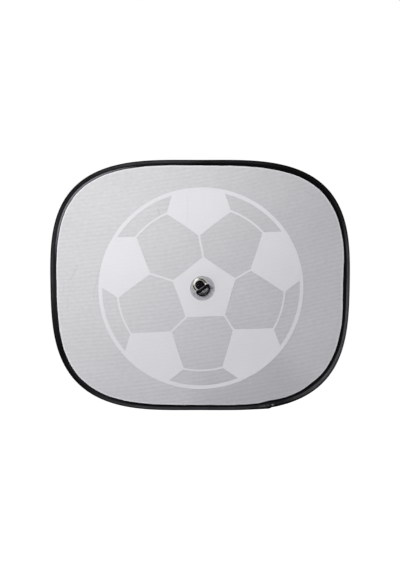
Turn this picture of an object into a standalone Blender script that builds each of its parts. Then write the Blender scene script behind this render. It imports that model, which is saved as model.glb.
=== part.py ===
"""Car side window sunshade: a printed mesh panel, held taut by a loop of spring wire sewn into its
bound edge, and carried on the window glass by one clear suction cup through an eyelet in its middle.

Metres, +Z up. The shade stands upright in the XZ plane and its printed side, with the cup, faces -Y.
Every piece hangs on an empty in the middle of the eyelet, turned so that a piece's own x and y are
the world's X and Z, and its own z is "front": how far a point lies in front of the mesh's middle
plane, towards -Y.
"""

import math

import bmesh
import bpy
import numpy as np
from mathutils import Matrix, Vector
from mathutils.geometry import intersect_line_line_2d

MM = 0.001
FULL_TURN = 2 * math.pi

# Outline of the shade: a rounded rectangle, a little wider at the top, its sides swelling
WIDTH = 440 * MM
HEIGHT = 368 * MM
SQUARENESS = 3.2  # exponent of the superellipse: 2 is an ellipse
TOP_FLARE = 0.0168  # extra width at the top edge, as a share
SIDE_BULGE = 0.021  # how much the sides swell and the long edges flatten, as a share
STATIONS = 80  # points around the outline, closer together in the corners

# Mesh and its print
MESH_THICKNESS = 0.5 * MM
INK_THICKNESS = 0.15 * MM
FIT_GAP = 0.3 * MM  # between pieces that touch on the real shade

# Edge binding, spring wire and the ferrule that joins the wire's ends
TAPE_THICKNESS = 0.45 * MM
HEM_DEPTH = 8.0 * MM  # tape seen from the front, from its outer edge to its inner one
WIRE_RADIUS = 0.75 * MM
CHANNEL_RADIUS = 1.3 * MM
JOIN_ANGLE = math.radians(300)  # where the tape's ends overlap and the wire's ends meet
JOIN_SWELL = 0.25  # extra size of the hem over the join, as a share
JOIN_SPREAD = math.radians(9)
HEM_DRIFT = 0.12  # the hem is sewn wider towards one side, as a share
DRIFT_ANGLE = math.radians(345)
WIRE_END_GAP = 1.0 * MM
FERRULE_LENGTH = 16 * MM
FERRULE_WALL = 0.2 * MM
WIRE_PLAY = 0.3 * MM  # inside the ferrule

# Football print, from its own centre
BALL_CENTRE = Vector((1.5 * MM, -4.7 * MM))
BALL_TURN = math.radians(92)  # direction of the first outer patch
BALL_RADIUS = 150 * MM
BALL_RIM_WIDTH = 5.6 * MM
SEAM_WIDTH = 2.9 * MM
SEAM_CIRCLE = 122.3 * MM  # radius of the curved seams
CORE_RADIUS = 47.5 * MM  # centre patch, to its corners
CORE_SHIFT = Vector((5 * MM, -2.5 * MM))
PATCH_TIP = 77.9 * MM  # inner corner of each outer patch
SHOULDER_ANGLE = math.radians(22.6)  # where an outer patch is widest
FOOT_ANGLE = math.radians(15.7)  # where its sides meet the ball's rim
PATCHES = 5

# Eyelet and the washer behind the mesh
BARREL_BORE = 6.0 * MM
SHEET_METAL = 0.4 * MM
FLANGE_RADIUS = 11.0 * MM
CREST_RADIUS = 8.2 * MM
FLANGE_RISE = 1.9 * MM  # crest of the flange, in front of the mesh's middle plane
WASHER_RADIUS = 10.4 * MM
CURL_RADIUS = 8.2 * MM
CURL_RISE = 0.75 * MM  # of the barrel's rolled end, behind the washer

# Suction cup
CUP_CENTRE = Vector((3.6 * MM, -4.8 * MM))  # from the eyelet's centre: the soft neck leans
CUP_RADIUS = 18.0 * MM
CUP_HOLLOW = 5.8 * MM
RIM_FLAT = 1.4 * MM
LIP_THICKNESS = 0.7 * MM
DISH_THICKNESS = 2.4 * MM
NECK_ROOT_RADIUS = 11.2 * MM
NECK_END_RADIUS = 5.2 * MM
NECK_LENGTH = 4.0 * MM  # from the dish's back, in its middle, to the neck's end
NECK_FLARE = 1.4  # how fast the neck widens towards its root: 1 is a cone

# Retaining stud
COLLAR_GAP = 0.4 * MM
SHANK_RADIUS = 1.9 * MM
SHANK_LENGTH = 3.4 * MM
BARB_RADIUS = 2.3 * MM
BORE_GAP = 0.3 * MM
HEAD_RADIUS = 8.6 * MM
HEAD_THICKNESS = 2.0 * MM
HEAD_ROUNDING = 0.8 * MM

# Front depths that follow from the sizes above
MESH_FRONT = MESH_THICKNESS / 2
INK_BACK = MESH_FRONT + FIT_GAP
WASHER_BACK = -(MESH_FRONT + FIT_GAP + SHEET_METAL)
CURL_BACK = WASHER_BACK - CURL_RISE
COLLAR_FRONT = FLANGE_RISE - FIT_GAP
NECK_END = COLLAR_FRONT + FIT_GAP
DISH_BACK = NECK_END + NECK_LENGTH
DISH_FRONT = DISH_BACK + DISH_THICKNESS
CUP_RIM = DISH_FRONT + CUP_HOLLOW
HEAD_FRONT = CURL_BACK - FIT_GAP
HEAD_BACK = HEAD_FRONT - HEAD_THICKNESS
MESH_Y = (CUP_RIM + HEAD_BACK) / 2  # puts the origin in the middle of the whole depth

# The tape's section, across the wire
TUBE_RADIUS = CHANNEL_RADIUS + TAPE_THICKNESS
LEAF_REACH = HEM_DEPTH - TUBE_RADIUS
LEAF_INSIDE = MESH_FRONT + FIT_GAP
LEAF_OUTSIDE = LEAF_INSIDE + TAPE_THICKNESS
FERRULE_BORE = WIRE_RADIUS + WIRE_PLAY
PANEL_INSET = TUBE_RADIUS + FERRULE_BORE + FERRULE_WALL + FIT_GAP

FINE_STEPS = 48  # faces around a turned piece
SMALL_STEPS = 32
MERGE = 0.00001


def clear_scene():
    for obj in list(bpy.data.objects):
        bpy.data.objects.remove(obj, do_unlink=True)


def new_collection(name):
    collection = bpy.data.collections.new(name)
    bpy.context.scene.collection.children.link(collection)
    return collection


def new_material(name, colour, roughness, metallic=0.0, alpha=1.0):
    material = bpy.data.materials.new(name)
    material.use_nodes = True
    shader = material.node_tree.nodes["Principled BSDF"]
    shader.inputs["Base Color"].default_value = (*colour, 1)
    shader.inputs["Roughness"].default_value = roughness
    shader.inputs["Metallic"].default_value = metallic
    shader.inputs["Alpha"].default_value = alpha
    return material


def new_axis(name, collection):
    """An empty in the middle of the eyelet, turned so that its own z points to the front."""
    axis = bpy.data.objects.new(name, None)
    axis.location = (0, MESH_Y, 0)
    axis.rotation_euler = (math.pi / 2, 0, 0)
    axis.empty_display_size = 20 * MM
    collection.objects.link(axis)
    return axis


def new_piece(name, data, axis, material):
    piece = bpy.data.objects.new(name, data)
    piece.parent = axis
    axis.users_collection[0].objects.link(piece)
    data.materials.append(material)
    return piece


def new_guide(name, data, axis, guides):
    """A profile or a cutter: it shapes another piece and isn't one itself."""
    guide = bpy.data.objects.new(name, data)
    guide.parent = axis
    guide.hide_render = True
    guide.display_type = "WIRE"
    guides.objects.link(guide)
    return guide


def add_spline(curve, points, cyclic=True, radii=None):
    spline = curve.splines.new("POLY")
    spline.points.add(len(points) - 1)
    for i, (x, y) in enumerate(points):
        spline.points[i].co = (x, y, 0, 1)
        spline.points[i].radius = radii[i] if radii else 1.0
    spline.use_cyclic_u = cyclic


def new_flat_curve(name, outlines, thickness):
    """A flat sheet: the first outline is its edge, the others are holes in it."""
    curve = bpy.data.curves.new(name, "CURVE")
    curve.dimensions = "2D"
    curve.fill_mode = "BOTH"
    curve.extrude = thickness / 2
    for points in outlines:
        add_spline(curve, points)
    return curve


def turned(name, profile, axis, material, steps=FINE_STEPS, wall=0.0):
    """Turns a profile of (radius, front) points about the piece's z. With a wall, the profile is
    the middle of a sheet of that thickness; without, it runs down the outside of a solid."""
    mesh = bpy.data.meshes.new(name)
    corners = [(radius, 0, front) for radius, front in profile]
    mesh.from_pydata(corners, [(i, i + 1) for i in range(len(corners) - 1)], [])
    piece = new_piece(name, mesh, axis, material)
    screw = piece.modifiers.new("Turn", "SCREW")
    screw.axis = "Z"
    screw.steps = screw.render_steps = steps
    screw.use_merge_vertices = True
    screw.merge_threshold = MERGE
    if wall:
        solidify = piece.modifiers.new("Sheet", "SOLIDIFY")
        solidify.thickness = wall
        solidify.offset = 0
    return piece


def turn_to(radius, angle):
    return Vector((radius * math.cos(angle), radius * math.sin(angle)))


def arc(radius, start, end, count, centre=Vector((0, 0))):
    """Points along an arc, both ends included."""
    return [centre + turn_to(radius, start + (end - start) * i / (count - 1)) for i in range(count)]


def circle(radius, count, centre=Vector((0, 0))):
    return [centre + turn_to(radius, FULL_TURN * i / count) for i in range(count)]


def outline(angle):
    """The shade's outer edge in this direction: a superellipse that bulges and flares."""
    half_width = WIDTH / 2 / (1 + SIDE_BULGE)
    half_height = HEIGHT / 2 / (1 - SIDE_BULGE)
    across, up = math.cos(angle), math.sin(angle)
    size = abs(across / half_width) ** SQUARENESS + abs(up / half_height) ** SQUARENESS
    reach = (1 + SIDE_BULGE * math.cos(2 * angle)) / size ** (1 / SQUARENESS)
    z = reach * up
    return Vector((reach * across * (1 + TOP_FLARE * z / half_height), z))


def heading(angle):
    """The direction in which the outer edge runs here, anticlockwise."""
    step = 0.0005
    return (outline(angle + step) - outline(angle - step)).normalized()


def inset(angle, distance):
    """A point that lies this far inside the outer edge."""
    along = heading(angle)
    return outline(angle) + distance * Vector((-along.y, along.x))


def stations():
    """Directions of the points around the outline, from the join onwards. Half of each step is an
    equal share of the length and half an equal share of the turning."""
    fine = JOIN_ANGLE + np.linspace(0, FULL_TURN, 20 * STATIONS + 1)
    edge = np.array([outline(angle) for angle in fine])
    steps = np.diff(edge, axis=0)
    lengths = np.hypot(steps[:, 0], steps[:, 1])
    directions = np.unwrap(np.arctan2(steps[:, 1], steps[:, 0]))
    turns = np.abs(np.diff(directions, append=directions[0] + FULL_TURN))
    share = lengths / lengths.sum() + turns / turns.sum()
    reached = np.concatenate([[0], np.cumsum(share)]) / share.sum()
    return [float(a) for a in np.interp(np.arange(STATIONS) / STATIONS, reached, fine)]


def hem_scale(angle):
    """How much wider and thicker the hem is here than its plain size."""
    from_join = (angle - JOIN_ANGLE + math.pi) % FULL_TURN - math.pi
    swell = JOIN_SWELL * math.exp(-((from_join / JOIN_SPREAD) ** 2))
    drift = HEM_DRIFT * max(0.0, math.cos(angle - DRIFT_ANGLE)) ** 2
    return 1 + swell + drift


def make_mesh_panel(axis, material):
    edge = [inset(angle, PANEL_INSET) for angle in stations()]
    hole = circle(BARREL_BORE + SHEET_METAL + FIT_GAP, SMALL_STEPS)
    sheet = new_flat_curve("mesh_panel", [edge, hole], MESH_THICKNESS)
    return new_piece("mesh_panel", sheet, axis, material)


def crossing(first, second):
    """Where two lines cross, each given by two of its points."""
    (a, b), (c, d) = first, second
    along, across = (b - a).normalized() * WIDTH, (d - c).normalized() * WIDTH
    return intersect_line_line_2d(a - along, a + along, c - across, c + across)


def inner_field(patch):
    """A six-sided gap in the print, between two straight seams, the centre patch, two outer
    patches and a curved seam."""
    here = BALL_TURN + patch * FULL_TURN / PATCHES
    there = here + FULL_TURN / PATCHES
    top = SEAM_CIRCLE - SEAM_WIDTH / 2
    core = [CORE_SHIFT + turn_to(CORE_RADIUS, angle) for angle in (here, there)]
    tips = [turn_to(PATCH_TIP, angle) for angle in (here, there)]
    shoulders = [turn_to(top, here + SHOULDER_ANGLE), turn_to(top, there - SHOULDER_ANGLE)]
    corners = []
    for corner, tip, shoulder, side in zip(core, tips, shoulders, (1, -1)):
        along = (tip - corner).normalized()
        aside = side * SEAM_WIDTH / 2 * Vector((-along.y, along.x))
        seam = (corner + aside, tip + aside)
        corners.append((crossing(seam, core), crossing(seam, (tip, shoulder))))
    curve = arc(top, here + SHOULDER_ANGLE, there - SHOULDER_ANGLE, 6)
    return [corners[0][0], corners[0][1], *curve, corners[1][1], corners[1][0]]


def outer_field(patch):
    """A gap in the print between two outer patches, a curved seam and the ball's rim."""
    here = BALL_TURN + patch * FULL_TURN / PATCHES
    there = here + FULL_TURN / PATCHES
    bottom = SEAM_CIRCLE + SEAM_WIDTH / 2
    top = BALL_RADIUS - BALL_RIM_WIDTH
    narrowing = (SHOULDER_ANGLE - FOOT_ANGLE) * SEAM_WIDTH / (top - SEAM_CIRCLE)
    side = SHOULDER_ANGLE - narrowing / 2
    curve = arc(bottom, here + side, there - side, 6)
    return curve + arc(top, there - FOOT_ANGLE, here + FOOT_ANGLE, 8)


def make_ball_print(axis, material):
    fields = [inner_field(patch) for patch in range(PATCHES)]
    fields += [outer_field(patch) for patch in range(PATCHES)]
    placed = [[BALL_CENTRE + point for point in field] for field in fields]
    edge = circle(BALL_RADIUS, STATIONS, BALL_CENTRE)
    hole = circle(FLANGE_RADIUS + FIT_GAP, SMALL_STEPS)
    sheet = new_flat_curve("ball_print", [edge, hole, *placed], INK_THICKNESS)
    ink = new_piece("ball_print", sheet, axis, material)
    ink.location.z = INK_BACK + INK_THICKNESS / 2
    return ink


def tape_section():
    """The folded tape cut across: a tube round the wire, open to two leaves. The wire's middle is
    at the origin and the leaves point along +x."""
    outer_join = math.asin(LEAF_OUTSIDE / TUBE_RADIUS)
    inner_join = math.asin(LEAF_INSIDE / CHANNEL_RADIUS)
    outside = arc(TUBE_RADIUS, outer_join, FULL_TURN - outer_join, 9)
    inside = arc(CHANNEL_RADIUS, FULL_TURN - inner_join, inner_join, 7)
    front_leaf = [Vector((LEAF_REACH, LEAF_INSIDE)), Vector((LEAF_REACH, LEAF_OUTSIDE))]
    back_leaf = [Vector((x, -y)) for x, y in reversed(front_leaf)]
    return list(reversed(outside + back_leaf + inside + front_leaf))


def make_edge_binding(axis, material, guides):
    section = bpy.data.curves.new("tape_section", "CURVE")
    section.dimensions = "2D"
    add_spline(section, tape_section())
    path = bpy.data.curves.new("edge_binding", "CURVE")
    path.dimensions = "2D"
    path.bevel_mode = "OBJECT"
    path.bevel_object = new_guide("tape_section", section, axis, guides)
    angles = stations()
    middle = [inset(angle, TUBE_RADIUS) for angle in angles]
    add_spline(path, middle, radii=[hem_scale(angle) for angle in angles])
    return new_piece("edge_binding", path, axis, material)


def make_spring_wire(axis, material):
    """The loop starts and ends inside the ferrule, a small gap apart."""
    start, *rest = [inset(angle, TUBE_RADIUS) for angle in stations()]
    along = heading(JOIN_ANGLE) * WIRE_END_GAP / 2
    curve = bpy.data.curves.new("spring_wire", "CURVE")
    curve.dimensions = "3D"
    curve.bevel_depth = WIRE_RADIUS
    curve.bevel_resolution = 2
    curve.use_fill_caps = True
    add_spline(curve, [start + along, *rest, start - along], cyclic=False)
    return new_piece("spring_wire", curve, axis, material)


def make_wire_ferrule(axis, material):
    mesh = bpy.data.meshes.new("wire_ferrule")
    sleeve = bmesh.new()
    bmesh.ops.create_cone(
        sleeve,
        cap_ends=False,
        segments=16,
        radius1=FERRULE_BORE,
        radius2=FERRULE_BORE,
        depth=FERRULE_LENGTH,
    )
    sleeve.to_mesh(mesh)
    sleeve.free()
    ferrule = new_piece("wire_ferrule", mesh, axis, material)
    along = heading(JOIN_ANGLE).to_3d()
    ferrule.rotation_euler = along.to_track_quat("Z", "Y").to_euler()
    ferrule.location = inset(JOIN_ANGLE, TUBE_RADIUS).to_3d()
    solidify = ferrule.modifiers.new("Wall", "SOLIDIFY")
    solidify.thickness = FERRULE_WALL
    solidify.offset = 1
    return ferrule


def quarter_wave(crest, foot, steps):
    """Points (radius, front) down a rounded slope: level at the crest and steep at the foot."""
    points = []
    for i in range(steps + 1):
        turn = i / steps * math.pi / 2
        radius = crest[0] + (foot[0] - crest[0]) * math.sin(turn)
        points.append((radius, foot[1] + (crest[1] - foot[1]) * math.cos(turn)))
    return points


def make_eyelet(axis, material):
    """One sheet-metal piece: the domed flange in front, the barrel through the mesh, and the
    barrel's end rolled outwards over the washer."""
    half = SHEET_METAL / 2
    barrel = BARREL_BORE + half
    crest = FLANGE_RISE - half
    curl = CURL_BACK + half
    outer_slope = quarter_wave((CREST_RADIUS, crest), (FLANGE_RADIUS - half, INK_BACK + half), 3)
    inner_slope = quarter_wave((CREST_RADIUS, crest), (barrel, MESH_FRONT), 3)
    profile = [
        *reversed(outer_slope),
        *inner_slope[1:],
        (barrel, WASHER_BACK),
        (barrel + half, curl),
        (CURL_RADIUS - SHEET_METAL, curl),
        (CURL_RADIUS - half, WASHER_BACK - FIT_GAP - half),
    ]
    return turned("eyelet", profile, axis, material, SMALL_STEPS, SHEET_METAL)


def make_eyelet_washer(axis, material):
    inner = BARREL_BORE + SHEET_METAL + FIT_GAP
    middle = WASHER_BACK + SHEET_METAL / 2
    profile = [(WASHER_RADIUS, middle), (inner, middle)]
    return turned("eyelet_washer", profile, axis, material, SMALL_STEPS, SHEET_METAL)


def dish_hollow(radius):
    """Front depth of the dish's hollow face."""
    bowl = CUP_RADIUS - RIM_FLAT
    return CUP_RIM - CUP_HOLLOW * (1 - min(1.0, radius / bowl) ** 2)


def dish_outside(radius):
    """Front depth of the dish's back: its wall thins from the middle to the lip."""
    thinning = (DISH_THICKNESS - LIP_THICKNESS) * (radius / CUP_RADIUS)
    return dish_hollow(radius) - DISH_THICKNESS + thinning


def make_suction_cup(axis, material, guides):
    """One moulding. The cup is turned first, and then the neck's rings slide sideways, from the
    dish's middle to the eyelet's, as the soft neck leans."""
    hollow_radii = np.linspace(0, CUP_RADIUS - RIM_FLAT, 7).tolist()
    back_radii = np.linspace(CUP_RADIUS, NECK_ROOT_RADIUS, 4).tolist()
    hollow = [(radius, dish_hollow(radius)) for radius in hollow_radii]
    back = [(radius, dish_outside(radius)) for radius in back_radii]
    root_front = dish_outside(NECK_ROOT_RADIUS)
    neck = []
    for down in np.linspace(0, 1, 6).tolist()[1:]:
        radius = NECK_END_RADIUS + (NECK_ROOT_RADIUS - NECK_END_RADIUS) * (1 - down) ** NECK_FLARE
        neck.append((radius, root_front + (NECK_END - root_front) * down))
    profile = [*hollow, (CUP_RADIUS, CUP_RIM), *back, *neck, (0, NECK_END)]
    cup = turned("suction_cup", profile, axis, material)
    cup.location = CUP_CENTRE.to_3d()
    cut_bore(lean_neck(cup, root_front), axis, guides)
    return cup


def lean_neck(cup, root_front):
    """Applies the turning and slides each ring behind the neck's root towards the eyelet."""
    graph = bpy.context.evaluated_depsgraph_get()
    solid = bpy.data.meshes.new_from_object(cup.evaluated_get(graph))
    cup.modifiers.clear()
    cup.data = solid
    for vertex in solid.vertices:
        back = (root_front - vertex.co.z) / (root_front - NECK_END)
        if back > 0:
            vertex.co.xy -= min(1.0, back) * CUP_CENTRE
    return cup


def cut_bore(cup, axis, guides):
    """The blind hole in the neck's end, on the eyelet's axis, that grips the stud's shank."""
    mesh = bpy.data.meshes.new("stud_bore")
    bore = bmesh.new()
    floor = COLLAR_FRONT + SHANK_LENGTH + BORE_GAP
    mouth = NECK_END - SHANK_LENGTH
    bmesh.ops.create_cone(
        bore,
        cap_ends=True,
        segments=SMALL_STEPS,
        radius1=BARB_RADIUS + BORE_GAP,
        radius2=BARB_RADIUS + BORE_GAP,
        depth=floor - mouth,
        matrix=Matrix.Translation((0, 0, (floor + mouth) / 2)),
    )
    bore.to_mesh(mesh)
    bore.free()
    cutter = new_guide("stud_bore", mesh, axis, guides)
    cut = cup.modifiers.new("Bore", "BOOLEAN")
    cut.operation = "DIFFERENCE"
    cut.object = cutter


def make_retaining_stud(axis, material):
    collar = BARREL_BORE - COLLAR_GAP
    tip = COLLAR_FRONT + SHANK_LENGTH
    barb = tip - SHANK_LENGTH / 2
    profile = [
        (0, tip),
        (SHANK_RADIUS / 2, tip),
        (BARB_RADIUS, barb),
        (SHANK_RADIUS, barb),
        (SHANK_RADIUS, COLLAR_FRONT),
        (collar, COLLAR_FRONT),
        (collar, HEAD_FRONT),
        (HEAD_RADIUS, HEAD_FRONT),
        (HEAD_RADIUS, HEAD_BACK + HEAD_ROUNDING),
        (HEAD_RADIUS - HEAD_ROUNDING / 3, HEAD_BACK + HEAD_ROUNDING / 3),
        (HEAD_RADIUS - HEAD_ROUNDING, HEAD_BACK),
        (0, HEAD_BACK),
    ]
    return turned("retaining_stud", profile, axis, material, SMALL_STEPS)


def main():
    clear_scene()
    parts = new_collection("car_window_sunshade")
    guides = new_collection("guides")
    glass_side = new_axis("glass_side", parts)
    shade = new_axis("shade_turn_axis", parts)

    mesh_fabric = new_material("mesh_fabric", (0.62, 0.62, 0.64), 0.9)
    ink = new_material("white_ink", (0.80, 0.80, 0.81), 0.8)
    tape = new_material("black_tape", (0.012, 0.012, 0.013), 0.75)
    spring_steel = new_material("spring_steel", (0.45, 0.45, 0.47), 0.35, 1.0)
    ferrule_steel = new_material("ferrule_steel", (0.55, 0.55, 0.56), 0.4, 1.0)
    nickel = new_material("nickel_plate", (0.78, 0.76, 0.72), 0.18, 1.0)
    washer_plate = new_material("washer_plate", (0.70, 0.69, 0.66), 0.25, 1.0)
    clear_pvc = new_material("clear_pvc", (0.72, 0.74, 0.78), 0.12, alpha=0.45)
    black_plastic = new_material("black_plastic", (0.008, 0.008, 0.009), 0.3)

    make_suction_cup(glass_side, clear_pvc, guides)
    make_retaining_stud(glass_side, black_plastic)
    make_mesh_panel(shade, mesh_fabric)
    make_ball_print(shade, ink)
    make_edge_binding(shade, tape, guides)
    make_spring_wire(shade, spring_steel)
    make_wire_ferrule(shade, ferrule_steel)
    make_eyelet(shade, nickel)
    make_eyelet_washer(shade, washer_plate)

    for piece in parts.objects:
        if piece.type == "MESH":
            piece.data.shade_smooth()


main()
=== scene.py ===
import math

import bmesh
import bpy
from mathutils import Matrix, Vector


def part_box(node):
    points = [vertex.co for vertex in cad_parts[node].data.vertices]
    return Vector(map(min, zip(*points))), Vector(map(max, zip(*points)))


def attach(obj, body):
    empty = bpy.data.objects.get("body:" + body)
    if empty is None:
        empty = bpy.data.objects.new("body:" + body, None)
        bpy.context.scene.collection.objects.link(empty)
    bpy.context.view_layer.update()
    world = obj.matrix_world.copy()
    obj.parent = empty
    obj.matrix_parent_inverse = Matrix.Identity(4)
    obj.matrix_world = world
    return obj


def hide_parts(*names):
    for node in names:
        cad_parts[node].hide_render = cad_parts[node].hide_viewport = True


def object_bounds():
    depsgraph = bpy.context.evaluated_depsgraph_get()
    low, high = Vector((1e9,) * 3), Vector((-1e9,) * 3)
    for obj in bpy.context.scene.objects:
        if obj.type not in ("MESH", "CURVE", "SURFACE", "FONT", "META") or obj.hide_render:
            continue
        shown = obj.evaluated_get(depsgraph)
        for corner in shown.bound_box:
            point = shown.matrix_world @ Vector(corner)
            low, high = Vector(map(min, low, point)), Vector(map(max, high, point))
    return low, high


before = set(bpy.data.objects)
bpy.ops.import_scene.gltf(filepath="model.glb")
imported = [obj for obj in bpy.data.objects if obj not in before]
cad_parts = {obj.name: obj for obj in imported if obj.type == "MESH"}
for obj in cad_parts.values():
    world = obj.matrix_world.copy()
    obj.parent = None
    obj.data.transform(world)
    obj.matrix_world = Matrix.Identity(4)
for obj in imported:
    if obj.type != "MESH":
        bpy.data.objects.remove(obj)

cadLow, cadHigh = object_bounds()
mm = 0.001
fullTurn = 2 * math.pi

meshLow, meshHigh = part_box("mesh_panel")
inkLow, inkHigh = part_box("ball_print")
cupLow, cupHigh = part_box("suction_cup")
studLow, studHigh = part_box("retaining_stud")
eyeletLow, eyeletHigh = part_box("eyelet")

meshY = (meshLow.y + meshHigh.y) / 2  # middle plane of the mesh; "front" is how far a point lies before it


def frontOf(y):
    return meshY - y


# Small helpers for modelling

def deselectAll():
    bpy.ops.object.select_all(action="DESELECT")


def makeActive(piece):
    deselectAll()
    piece.select_set(True)
    bpy.context.view_layer.objects.active = piece


def justAdded(name):
    piece = bpy.context.object
    piece.name = name
    piece.data.name = name
    return piece


def applyPlace(piece):
    makeActive(piece)
    bpy.ops.object.transform_apply(location=True, rotation=True, scale=True)


def smoothByAngle(piece, degrees):
    makeActive(piece)
    bpy.ops.object.shade_smooth_by_angle(angle=math.radians(degrees))


def keepValues(piece, name, values):
    # a number at each point, which the piece's finish reads
    piece.data.attributes.new(name, "FLOAT", "POINT").data.foreach_set("value", values)


def tidyMesh(piece, smoothAngle=35, merge=0.002 * mm):
    makeActive(piece)
    bpy.ops.object.mode_set(mode="EDIT")
    bpy.ops.mesh.select_all(action="SELECT")
    bpy.ops.mesh.remove_doubles(threshold=merge)
    bpy.ops.mesh.dissolve_degenerate(threshold=merge)
    bpy.ops.mesh.select_all(action="SELECT")
    bpy.ops.mesh.normals_make_consistent(inside=False)
    bpy.ops.object.mode_set(mode="OBJECT")
    smoothByAngle(piece, smoothAngle)


def addModifier(piece, kind, **settings):
    modifier = piece.modifiers.new(kind.title(), kind)
    for name, value in settings.items():
        setattr(modifier, name, value)
    makeActive(piece)
    bpy.ops.object.modifier_apply(modifier=modifier.name)


def warpedGrid(name, columns, rows, place):
    # a grid pulled into shape: place(u, v) gives each point, u and v from 0 to 1; its UV map stays
    deselectAll()
    bpy.ops.mesh.primitive_grid_add(x_subdivisions=columns, y_subdivisions=rows, size=1, calc_uvs=True)
    piece = justAdded(name)
    for vertex in piece.data.vertices:
        vertex.co = place(vertex.co.x + 0.5, vertex.co.y + 0.5)
    return piece


def spunPiece(name, profile, centre=Vector((0, 0)), steps=96, ring=False, smoothAngle=35):
    # profile points are (radius, front); a ring's profile is a closed loop, else it ends on the axis
    deselectAll()
    bpy.ops.mesh.primitive_circle_add(vertices=len(profile), radius=1)
    piece = justAdded(name)
    for vertex, (radius, front) in zip(piece.data.vertices, profile):
        vertex.co = (centre.x + radius, meshY - front, centre.y)
    bpy.ops.object.mode_set(mode="EDIT")
    if not ring:
        work = bmesh.from_edit_mesh(piece.data)
        work.verts.ensure_lookup_table()
        first, last = work.verts[0], work.verts[len(profile) - 1]
        closing = next(edge for edge in first.link_edges if last in edge.verts)
        work.edges.remove(closing)
        bmesh.update_edit_mesh(piece.data)
    bpy.ops.mesh.select_all(action="SELECT")
    bpy.ops.mesh.spin(steps=steps, angle=fullTurn, center=(centre.x, 0, centre.y), axis=(0, 1, 0))
    bpy.ops.object.mode_set(mode="OBJECT")
    tidyMesh(piece, smoothAngle)
    return piece


def easeArc(start, end, count):
    # rounded step between two (radius, front) points, flat at the start and steep at the end
    wide, deep = end[0] - start[0], end[1] - start[1]
    turns = [i / count * math.pi / 2 for i in range(1, count + 1)]
    return [(start[0] + wide * math.sin(turn), start[1] + deep * (1 - math.cos(turn))) for turn in turns]


# These two work on numbers and on shader signals

def lengthOf(x, z):
    return (x * x + z * z) ** 0.5


def turnedAxes(x, z, turn):
    # how far along and aside of a direction a point lies
    across, up = math.cos(turn), math.sin(turn)
    return x * across + z * up, z * across - x * up


# Shader nodes as Python expressions

class Signal:
    def __init__(self, bench, socket):
        self.bench = bench
        self.socket = socket

    def maths(self, operation, first, second=0.0):
        return self.bench.add("ShaderNodeMath", {"operation": operation}, {0: first, 1: second})

    def __add__(self, other):
        return self.maths("ADD", self, other)

    def __radd__(self, other):
        return self.maths("ADD", other, self)

    def __sub__(self, other):
        return self.maths("SUBTRACT", self, other)

    def __rsub__(self, other):
        return self.maths("SUBTRACT", other, self)

    def __mul__(self, other):
        return self.maths("MULTIPLY", self, other)

    def __rmul__(self, other):
        return self.maths("MULTIPLY", other, self)

    def __truediv__(self, other):
        return self.maths("DIVIDE", self, other)

    def __rtruediv__(self, other):
        return self.maths("DIVIDE", other, self)

    def __pow__(self, other):
        return self.maths("POWER", self, other)

    def sine(self):
        return self.maths("SINE", self)

    def size(self):
        return self.maths("ABSOLUTE", self)

    def atLeast(self, other):
        return self.maths("MAXIMUM", self, other)

    def atMost(self, other):
        return self.maths("MINIMUM", self, other)


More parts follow.
